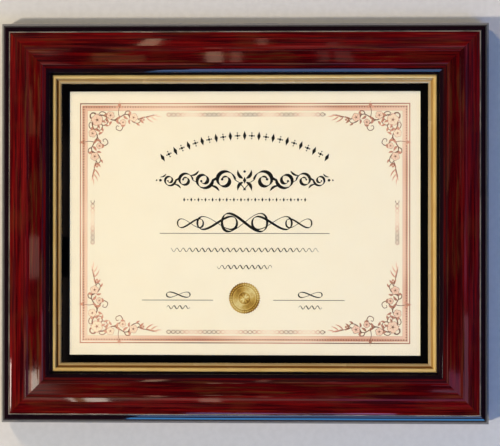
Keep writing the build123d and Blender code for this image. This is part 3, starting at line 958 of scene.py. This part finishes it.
heading = []
for order, (x, radius) in enumerate(scrolls):
    up = 1 if order % 2 == 0 else -1
    foot = (x - radius * tail_foot[0], heading_level - up * radius * tail_foot[1])
    knee = (x - radius * tail_knee[0], heading_level - up * radius * tail_knee[1])
    tail = smooth_line([foot, knee], tail_steps)
    line = scroll(x, heading_level, radius, scroll_start, -up * scroll_turn, tail)
    heading.append(nib_stroke(line, scroll_thin, scroll_thick * radius))
    heading.append(dot(*line[-1], knob_share * radius, 1.0))
    sprig = (x + radius * sprig_place[0], heading_level - up * radius * sprig_place[1])
    length, width = [radius * share for share in sprig_size]
    heading.append(leaf(*sprig, up * sprig_lean, length, width, 1.0, up * sprig_bend))
heading += [dot(x, heading_level, radius, 1.0) for x, radius in end_dots]
for up in (1, -1):
    x, z = middle_leaf_place[0], heading_level + up * middle_leaf_place[1]
    heading.append(leaf(x, z, up * middle_leaf_lean, *middle_leaf_size, 1.0, -up * middle_leaf_bend))
heading = mirrored(heading)
heading.append(lozenge(0, heading_level, upright_turn, *middle_lozenge))
for up in (1, -1):
    heading.append(dot(0, heading_level + up * middle_dot_reach, middle_dot_radius, 1.0))
inked("scrolled_heading", heading, line_lift, black)

small_row = []
for i in range(row_count):
    x = row_pitch * (i - (row_count - 1) / 2)
    if i % 2 == 0:
        small_row.append(lozenge(x, row_level, upright_turn, *row_lozenge))
    else:
        small_row.append(dot(x, row_level, row_dot_radius, row_dot_shade))
inked("small_row", small_row, line_lift, black)

loops = mirrored([eight(x, loop_level + z, *shape) for x, z, *shape in side_loops])
loops.append(eight(0, loop_level, *middle_loop))
inked("looped_line", loops, line_lift, black)

rules = [rule(0, rule_level, rule_half_width, rule_shade)]
for x in foot_rule_places:
    rules.append(rule(x, foot_rule_level, foot_rule_half_width, foot_rule_shade))
inked("rules", rules, rule_lift, black)

waves = [wave(0, long_wave_level, *long_wave), wave(0, short_wave_level, *short_wave)]
for x in foot_places:
    waves.append(eight(x, foot_loop_level, *foot_loop))
    waves.append(wave(x, foot_wave_level, *foot_wave))
inked("waves", waves, line_lift, black)

# Seal: a round of gold foil with a pointed edge, embossed with a beaded ring, rays and a rosette.
# It is stuck to the lower middle of the certificate.
seal_low, seal_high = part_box("foil_seal")
seal_x, seal_z = (seal_low.x + seal_high.x) / 2, (seal_low.z + seal_high.z) / 2
seal_radius, seal_points, seal_point_depth = (seal_high.x - seal_low.x) / 2 / mm, 40, 0.7
seal_thickness, seal_edge_thickness, seal_flat = 0.25, 0.06, 0.35
bead_count, ray_waves, petal_waves, petal_least, petal_swing = 36, 24, 4, 0.42, 0.55
bead_relief, ray_height, ray_relief, rosette_relief = 0.65, 0.4, 0.3, 0.6
outer_ring_height, inner_ring_height = 0.8, 0.85
beads_outside, beads_middle, beads_inside = 0.9, 0.85, 0.8
bead_half_width, bead_half_length = 0.045, 0.85
outer_ring_outside, outer_ring_inside, inner_ring_outside, inner_ring_inside = 0.74, 0.7, 0.42, 0.38


def seal_height(radius, angle):
    """How far the embossing stands forward at a place on the seal, from 0 to 1."""
    share = radius / seal_radius
    if beads_inside < share <= beads_outside:
        bead = abs(((angle * bead_count / tau) % 1) - 0.5) * 2
        off_bead = hypot((share - beads_middle) / bead_half_width, bead / bead_half_length)
        return seal_flat + bead_relief * max(0.0, 1 - off_bead**2) ** 0.5
    if share > outer_ring_outside:
        return seal_flat
    if share > outer_ring_inside:
        return outer_ring_height
    if share > inner_ring_outside:
        return ray_height + ray_relief * abs(sin(angle * ray_waves))
    if share > inner_ring_inside:
        return inner_ring_height
    petal = petal_least + petal_swing * abs(sin(angle * petal_waves))
    return seal_flat + rosette_relief * max(0.0, 1 - (share / inner_ring_inside / petal) ** 2)


def embossed_seal(finish):
    """Closed mesh of the seal in rings, with its embossing on the front."""
    around, rings = 320, 64
    points, faces, heights = [], [], []
    for ring in range(1, rings + 1):
        for i in range(around):
            angle = tau * i / around
            tooth = abs(((angle * seal_points / tau) % 1) - 0.5) * 2
            edge = seal_radius - seal_point_depth * (1 - tooth)
            reach = edge if ring > rings * beads_outside else seal_radius
            radius = min(reach * ring / rings, edge)
            heights.append(seal_height(radius, angle))
            y = paper_front - max(seal_thickness * heights[-1], seal_edge_thickness)
            points.append((seal_x + radius * mm * cos(angle), y * mm, seal_z + radius * mm * sin(angle)))
    for ring in range(rings - 1):
        for i in range(around):
            j = (i + 1) % around
            inner, outer = ring * around, (ring + 1) * around
            faces.append((inner + i, inner + j, outer + j, outer + i))
    rim = len(points)
    for i in range(around):
        x, _, z = points[(rings - 1) * around + i]
        points.append((x, (paper_front + ink_sink) * mm, z))
        heights.append(0.0)
    for i in range(around):
        j = (i + 1) % around
        faces.append(((rings - 1) * around + i, (rings - 1) * around + j, rim + j, rim + i))
    faces.append(tuple(reversed(range(around))))
    faces.append(tuple(rim + i for i in range(around)))
    made = new_piece("embossed_seal", points, [tuple(reversed(face)) for face in faces], finish)
    mark(made, "emboss", heights)
    made.data.polygons.foreach_set("use_smooth", [True] * len(faces))
    return made


def gold_foil():
    """Bright gold foil, a little crumpled, with a painted sheen that turns round the seal and lights its
    embossing.
    """
    material, tree, shader = new_finish("gold_foil")
    place = put(tree, "TexCoord", output="Object")
    split = put(tree, "SeparateXYZ", {0: place}).node
    right = sums(tree, "SUBTRACT", split.outputs[0], seal_x)
    up = sums(tree, "SUBTRACT", split.outputs[2], seal_z)
    turn = sums(tree, "ARCTAN2", up, right)
    spun_sheen = sums(tree, "SINE", times(tree, turn, 2.0), 0.0)
    crumple = streaks(tree, place, (420, 420, 420), 3.0)
    emboss = put(tree, "Attribute", output="Fac", attribute_name="emboss")
    # Painted sheen: bright and dark sectors round the seal and the crumple's flecks, with painted highlight
    # on the raised embossing and painted shade in its low parts.
    painted_sheen = sums(tree, "ADD", times(tree, spun_sheen, 0.2), times(tree, crumple, 0.5))
    painted_sheen = sums(tree, "ADD", painted_sheen, fade(tree, emboss, 0.3, 0.9, 0.1, 0.46))
    foil = mixed(tree, fade(tree, painted_sheen, 0.15, 0.55), srgb(146, 100, 26), srgb(224, 182, 88))
    foil = mixed(tree, fade(tree, painted_sheen, 0.5, 0.85), foil, srgb(255, 236, 166))
    fill(tree, shader, {"Base Color": foil, "Metallic": 0.3, "Roughness": 0.3})
    raised(tree, shader, crumple, 0.05 * mm)
    return material


seal = embossed_seal(gold_foil())
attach(seal, "frame")
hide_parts("foil_seal")

# Filler and backing: a grey card that takes up the depth behind the certificate, and a sheet of hardboard.
# Both are loose in the rabbet, and the turn buttons press on the hardboard's smooth brown back.


def filler_card():
    """Grey pulp card with darker flecks."""
    material, tree, shader = new_finish("filler_card")
    place = put(tree, "TexCoord", output="Object")
    pulp = streaks(tree, place, (900, 900, 900), 4.0)
    grey = mixed(tree, pulp, srgb(182, 175, 160), srgb(214, 207, 192))
    fill(tree, shader, {"Base Color": grey, "Roughness": 0.9})
    return material


def hardboard():
    """Pressed brown fibre with a smooth face: matted flecks, cloudy tone and a low sheen."""
    material, tree, shader = new_finish("hardboard")
    place = put(tree, "TexCoord", output="Object")
    cloud = streaks(tree, place, (26, 26, 26), 3.0)
    fleck = streaks(tree, place, (420, 420, 1300), 5.0, 3.0)
    dark = streaks(tree, place, (1500, 1500, 700), 2.0, 11.0)
    board = mixed(tree, fade(tree, cloud, 0.3, 0.7), srgb(112, 76, 46), srgb(132, 92, 58))
    board = mixed(tree, fade(tree, fleck, 0.5, 0.75, 0.0, 0.6), board, srgb(160, 119, 78))
    board = mixed(tree, fade(tree, dark, 0.6, 0.78, 0.0, 0.7), board, srgb(66, 42, 25))
    fill(tree, shader, {"Base Color": board, "Roughness": fade(tree, fleck, 0.3, 0.8, 0.42, 0.62)})
    raised(tree, shader, fleck, 0.05 * mm)
    return material


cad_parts["filler_board"].data.materials[0] = filler_card()
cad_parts["backing_board"].data.materials[0] = hardboard()

# Turn buttons and screws: stamped steel tongues and pan-head screws, bright zinc plated.
# Each tongue swivels on its screw and laps over the hardboard to hold it in.
for name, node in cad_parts.items():
    if name.startswith("turn_button"):
        node.data.materials[0] = zinc

# Hanger and nails: a brass-plated steel strip with a sawtooth lower edge, bridged off the top rail.
# Two round-head nails through its feet hold it to the wood.


def brass_plate():
    """Thin brass plate on steel, slightly dulled, with fine drawing marks."""
    material, tree, shader = new_finish("brass_plate")
    place = put(tree, "TexCoord", output="Object")
    dull = streaks(tree, place, (160, 160, 160), 4.0)
    marks = streaks(tree, place, (260, 3200, 3200), 2.0, 5.0)
    plate = mixed(tree, fade(tree, dull, 0.35, 0.7), srgb(222, 189, 112), srgb(190, 150, 78))
    roughness = fade(tree, marks, 0.3, 0.8, 0.2, 0.4)
    fill(tree, shader, {"Base Color": plate, "Roughness": roughness, "Metallic": 1.0})
    raised(tree, shader, marks, 0.02 * mm)
    return material


brass = brass_plate()
for name in ("sawtooth_hanger", "hanger_nails"):
    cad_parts[name].data.materials[0] = brass

# Bumpers: moulded rubber cones with a flat foot, stuck to the back of the rails near the corners.
# They keep the frame square and a few millimetres off the wall.


def bumper_rubber():
    """Dark grey rubber with a dusty bloom."""
    material, tree, shader = new_finish("bumper_rubber")
    place = put(tree, "TexCoord", output="Object")
    bloom = streaks(tree, place, (380, 380, 380), 4.0)
    grey = mixed(tree, bloom, srgb(38, 38, 39), srgb(62, 61, 60))
    fill(tree, shader, {"Base Color": grey, "Roughness": fade(tree, bloom, 0.3, 0.7, 0.55, 0.75)})
    raised(tree, shader, bloom, 0.05 * mm)
    return material


rubber = bumper_rubber()
for name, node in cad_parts.items():
    if name.startswith("bumper"):
        node.data.materials[0] = rubber

# Room: a pale wall that the frame hangs on, painted on its front only, and a plain pale floor.
# Dark cloths hang round the room in front of the wall, as in a studio, and only mirror-like surfaces see
# them: the lacquer and the glass then show a dark room. The cloths glow faintly, with brighter glowing
# patches that give the lacquer its dim reflections.
wall_half_width, wall_top, floor_level, floor_depth = 3.0, 2.2, -1.5, 5.0
opening_lap = 0.014
cloth_front, cloth_back, cloth_half_width = -2.9, -0.03, 2.4
cloth_top, cloth_bottom = 1.9, floor_level - 0.01
patch_half_width, patch_half_height = 0.5, 0.42


def panel(name, corners, finish):
    """One flat four-cornered sheet of the room."""
    made = new_piece(name, corners, [(0, 1, 2, 3)], finish)
    return made


def lying(left, right, front, back, level):
    """Corners of a level sheet."""
    return [(left, front, level), (right, front, level), (right, back, level), (left, back, level)]


def upright(left, right, low, high, depth):
    """Corners of an upright sheet, parallel to the wall."""
    return [(left, depth, low), (right, depth, low), (right, depth, high), (left, depth, high)]


def sidelong(front, back, low, high, place):
    """Corners of an upright sheet, square to the wall."""
    return [(place, front, low), (place, back, low), (place, back, high), (place, front, high)]


def mirrored_only(made):
    """Leaves a sheet to be seen by mirror-like surfaces alone."""
    made.visible_camera = False
    made.visible_diffuse = False
    made.visible_shadow = False
    made.visible_transmission = False


def wall_paint():
    """Matt pale paint on the front of a sheet, and nothing at all on its back."""
    material, tree, shader = new_finish("wall_paint")
    place = put(tree, "TexCoord", output="Object")
    roller = streaks(tree, place, (220, 220, 220), 4.0)
    paint = mixed(tree, fade(tree, roller, 0.35, 0.65), srgb(205, 202, 199), srgb(209, 206, 203))
    fill(tree, shader, {"Base Color": paint, "Roughness": 0.9, "Specular IOR Level": 0.1})
    back = put(tree, "NewGeometry", output="Backfacing")
    clear = put(tree, "BsdfTransparent")
    seen = put(tree, "MixShader", {0: back, 1: shader.outputs[0], 2: clear})
    fill(tree, tree.nodes["Material Output"], {"Surface": seen})
    return material


def floor_paint():
    """Plain pale matt paint."""
    material, tree, shader = new_finish("floor_paint")
    pale = srgb(214, 213, 209)
    fill(tree, shader, {"Base Color": pale, "Roughness": 0.95, "Specular IOR Level": 0.1})
    return material


def glowing(tree, shader, colour, strength):
    """Gives a shader a light of its own, and no other look."""
    fill(tree, shader, {"Base Color": (0.0, 0.0, 0.0, 1.0), "Specular IOR Level": 0.0})
    fill(tree, shader, {"Emission Color": colour, "Emission Strength": strength})


def opened_wall(name, finish):
    """The wall, with an opening behind the frame that the frame hides, so that its back isn't shut in."""
    half_width = outer_half_width - opening_lap
    corners = upright(-wall_half_width, wall_half_width, floor_level, wall_top, 0)
    corners += upright(-half_width, half_width, outer_bottom + opening_lap, outer_top - opening_lap, 0)
    made = new_piece(name, corners, [(i, (i + 1) % 4, 4 + (i + 1) % 4, 4 + i) for i in range(4)], finish)
    return made


wall = opened_wall("wall", wall_paint())
wall.visible_shadow = False
wall.visible_diffuse = False
floor_corners = lying(-floor_depth, floor_depth, -floor_depth, floor_depth, floor_level)
floor = panel("floor", floor_corners, floor_paint())
floor.visible_glossy = False


def glowing_dark_cloth():
    """Near-black cloth that glows faintly, with brighter glowing patches, warm to violet.

    The patches lie in a ring outside what the flat glass mirrors.
    """
    material, tree, shader = new_finish("glowing_dark_cloth")
    place = put(tree, "TexCoord", output="Object")
    patches = streaks(tree, place, (3.1, 3.1, 3.1), 3.0, 3.4)
    split = put(tree, "SeparateXYZ", {0: place}).node
    sideways = sums(tree, "DIVIDE", split.outputs[0], patch_half_width)
    upward = sums(tree, "DIVIDE", sums(tree, "SUBTRACT", split.outputs[2], centre_z), patch_half_height)
    sideways, upward = sums(tree, "ABSOLUTE", sideways, 0.0), sums(tree, "ABSOLUTE", upward, 0.0)
    outward = sums(tree, "MAXIMUM", sideways, upward)
    ring = times(tree, fade(tree, outward, 1.0, 1.2), fade(tree, outward, 1.45, 1.9, 1.0, 0.14))
    ahead = fade(tree, split.outputs[1], cloth_front + 0.02, cloth_front + 0.2, 1.0, 0.1)
    strength = times(tree, fade(tree, patches, 0.42, 0.66, 0.12, 1.2), ring)
    strength = sums(tree, "ADD", times(tree, strength, ahead), 0.012)
    rightward = fade(tree, split.outputs[0], -0.1, 0.6)
    tint = mixed(tree, rightward, srgb(235, 206, 190), srgb(208, 150, 214))
    glowing(tree, shader, tint, strength)
    return material


cloth = glowing_dark_cloth()
cloth_ends, cloth_reach = (-cloth_half_width, cloth_half_width), (cloth_front, cloth_back)
cloth_drop = (cloth_bottom, cloth_top)
for name, corners in {
    "cloth_front": upright(*cloth_ends, *cloth_drop, cloth_front),
    "cloth_left": sidelong(*cloth_reach, *cloth_drop, -cloth_half_width),
    "cloth_right": sidelong(*cloth_reach, *cloth_drop, cloth_half_width),
    "cloth_above": lying(*cloth_ends, *cloth_reach, cloth_top),
    "cloth_below": lying(*cloth_ends, *cloth_reach, cloth_bottom),
}.items():
    mirrored_only(panel(name, corners, cloth))

# Lamps: a key lamp low on the left that leaves the floor out, a warm one above it and a cool one low on the
# right, which make white light together. One behind the wall lights the frame's back, and a wide one the
# floor. Only lacquer and gilt mirror the cards: cool panels below, a pale doorway, window panes and a bench.
frame_centre = Vector((0, 0, centre_z))
shade_tint, plain_tint = (0.74, 1.02, 1.25, 1.0), (1.0, 1.0, 1.0, 1.0)
shade_level, backdrop_level = 0.24, 0.72
lying_level, upright_depth = -1.2, -2.85
lamp_card_feet, lamp_card_drop = ((-2.15, -2.37), (-2.05, -2.43)), (-0.56, -0.45)


def lamp(name, place, size, glow_strength, colour, aim=frame_centre, in_mirrors=False):
    """A rectangular lamp, not seen by the camera, that faces a point with the given glow."""
    data = bpy.data.lights.new(name, "AREA")
    data.shape = "RECTANGLE"
    data.size, data.size_y = size
    data.energy = glow_strength * pi * size[0] * size[1]
    data.color = colour
    made = bpy.data.objects.new(name, data)
    made.location = place
    made.rotation_euler = (Vector(aim) - Vector(place)).to_track_quat("-Z", "Z").to_euler()
    made.visible_camera = False
    made.visible_glossy = in_mirrors
    bpy.context.scene.collection.objects.link(made)
    return made


key_lamp = lamp(
    "key_lamp",
    place=(-2.63, -3.57, -1.32),
    size=(0.28, 0.28),
    glow_strength=578,
    colour=(1.0, 0.89, 0.68),
)
floor_kept_dim = bpy.data.collections.new("floor_kept_dim")
floor_kept_dim.objects.link(floor)
floor_kept_dim.collection_objects[0].light_linking.link_state = "EXCLUDE"
key_lamp.light_linking.receiver_collection = floor_kept_dim
lamp(
    "warm_lamp",
    place=(-1.4, -1.85, 1.65),
    size=(0.4, 0.4),
    glow_strength=64,
    colour=(1.0, 0.76, 0.46),
)
lamp(
    "cool_lamp",
    place=(0.75, -0.9, -0.4),
    size=(0.4, 0.4),
    glow_strength=8.2,
    colour=(0.03, 0.24, 1.0),
)
back_lamp = lamp(
    "back_lamp",
    place=(0.9, 1.6, 0.9),
    size=(1.4, 1.4),
    glow_strength=1.65,
    colour=(1.0, 0.98, 0.95),
    in_mirrors=True,
)
back_lamp.data.spread = radians(70)
floor_lamp = lamp(
    "floor_lamp",
    place=(0, -2.95, 2.1),
    size=(10.0, 4.1),
    glow_strength=0.5,
    colour=(1.0, 0.98, 0.94),
    aim=(0, -2.95, floor_level),
)
floor_lamp.data.spread = radians(30)
mirrors = bpy.data.collections.new("lacquer_and_gilt")
low_mirrors = bpy.data.collections.new("lower_left_lacquer")
for side in sides:
    mirrors.objects.link(bpy.data.objects[f"lacquered_rail_{side}"])
    mirrors.objects.link(bpy.data.objects[f"gilt_slip_{side}"])
for side in ("bottom", "left"):
    low_mirrors.objects.link(bpy.data.objects[f"lacquered_rail_{side}"])


def glow(name, colour, strength):
    """A card's even glow."""
    material, tree, shader = new_finish(name)
    glowing(tree, shader, colour, strength)
    return material


def card(name, corners, material, mirrored_by=mirrors):
    """A glowing sheet that only the lacquer and the gilt mirror, so that the glass stays clear."""
    made = panel(name, corners, material)
    mirrored_only(made)
    made.light_linking.receiver_collection = mirrored_by


glows = {
    name: glow(name, (*colour, 1.0), strength)
    for name, (*colour, strength) in {
        "lamp_card": (1.0, 0.93, 0.82, 18.0),
        "cool_card_near": (0.1, 0.45, 1.0, 8.4),
        "cool_card_middle": (0.3, 0.5, 1.0, 4.2),
        "cool_card_far": (0.42, 0.42, 1.0, 6.5),
        "pale_door": (1.0, 0.86, 0.72, 9.0),
        "brown_post": (1.0, 0.44, 0.04, 1.5),
        "violet_cloth": (1.0, 0.5, 0.78, 1.2),
        "grey_shelf": (1.0, 0.74, 0.54, 4.0),
        "dim_box": (1.0, 0.78, 0.6, 2.6),
        "brown_shelf": (1.0, 0.5, 0.22, 0.75),
        "dim_glass": (1.0, 0.62, 0.5, 1.3),
        "bright_pane": (1.0, 0.62, 0.4, 4.4),
        "window_pane": (1.0, 0.66, 0.46, 3.0),
        "dim_pane": (1.0, 0.5, 0.35, 1.8),
        "faint_pane": (1.0, 0.6, 0.5, 0.6),
        "dim_bench": (1.0, 0.66, 0.6, 1.0),
        "plum_bench": (1.0, 0.34, 0.72, 1.1),
    }.items()
}
lying_cards = {
    "cool_card_near": (-0.18, 0.6, -0.34, -0.08),
    "cool_card_middle": (-0.18, 0.6, -0.95, -0.5),
    "cool_card_far": (-0.15, 0.19, -1.36, -1.05),
}
for name, edges in lying_cards.items():
    card(name, lying(*edges, lying_level), glows[name])
(left, right), (low, high) = lamp_card_feet, lamp_card_drop
card("lamp_card", [(*left, low), (*right, low), (*right, high), (*left, high)], glows["lamp_card"])
upright_cards = {
    "door_card_left": (-0.511, -0.497, -1.0, -0.456, "pale_door"),
    "door_card_post": (-0.497, -0.469, -1.0, -0.456, "brown_post"),
    "door_card_right": (-0.469, -0.421, -1.0, -0.456, "pale_door"),
    "door_card_shelf": (-0.421, -0.23, -0.51, -0.456, "grey_shelf"),
    "door_card_box": (-0.208, -0.155, -1.0, -0.456, "dim_box"),
    "bench_card_left": (-0.421, -0.208, -0.8, -0.512, "dim_bench"),
    "bench_card_middle": (-0.155, 0.1, -0.8, -0.456, "dim_bench"),
    "bench_card_right": (0.1, 0.46, -0.8, -0.456, "plum_bench"),
    "window_card_left": (-0.186, -0.15, -0.02, 0.27, "window_pane"),
    "window_card_middle": (-0.131, -0.105, -0.01, 0.25, "dim_pane"),
    "window_card_right": (0.072, 0.096, -0.01, 0.23, "faint_pane"),
    "window_card_far": (0.11, 0.153, -0.02, 0.27, "faint_pane"),
    "window_card_high_left": (-0.349, -0.31, 0.66, 1.36, "bright_pane"),
    "window_card_high_middle": (-0.074, -0.05, 0.66, 1.4, "dim_pane"),
    "window_card_high_right": (0.098, 0.119, 0.42, 1.0, "faint_pane"),
    "brown_card": (-0.45, -0.33, 0.09, 0.2, "brown_shelf"),
    "door_card_glass": (-0.53, -0.36, -0.24, -0.146, "dim_glass"),
    "violet_card_low": (0.336, 0.46, -0.36, -0.315, "violet_cloth"),
    "violet_card_right": (0.55, 0.95, -0.62, -0.33, "violet_cloth"),
}
for name, (*edges, shine) in upright_cards.items():
    mirrored_by = low_mirrors if name.startswith("door") else mirrors
    card(name, upright(*edges, upright_depth), glows[shine], mirrored_by)

world = bpy.data.worlds.new("studio")
world.use_nodes = True
bpy.context.scene.world = world
sky = world.node_tree
light_path = put(sky, "LightPath").node
camera_ray, glossy_ray = light_path.outputs["Is Camera Ray"], light_path.outputs["Is Glossy Ray"]
seen_directly = sums(sky, "MAXIMUM", camera_ray, glossy_ray)
seen_directly = sums(sky, "MAXIMUM", seen_directly, light_path.outputs["Is Transmission Ray"])
fill(
    sky,
    sky.nodes["Background"],
    {
        "Color": mixed(sky, seen_directly, shade_tint, plain_tint),
        "Strength": fade(sky, seen_directly, 0.0, 1.0, shade_level, backdrop_level),
    },
)

# Camera: level with the frame and a little to its right, as the photograph was taken.
# Its long lens takes in the frame and a narrow strip of the wall round it.
image_width = 500
focal_pixels = 1766.8
camera_place = (0.045, -1.3, -0.1328)
camera_turn, camera_tilt, camera_roll = 0.0318, 0.0048, -0.001
camera_data = bpy.data.cameras.new("camera")
camera_data.sensor_width = 36.0
camera_data.lens = focal_pixels / image_width * camera_data.sensor_width
camera = bpy.data.objects.new("camera", camera_data)
camera.location = camera_place
camera.rotation_euler = (radians(90) + camera_tilt, camera_roll, camera_turn)
bpy.context.scene.collection.objects.link(camera)
bpy.context.scene.camera = camera
bpy.context.scene.view_settings.view_transform = "Standard"

bpy.context.view_layer.update()
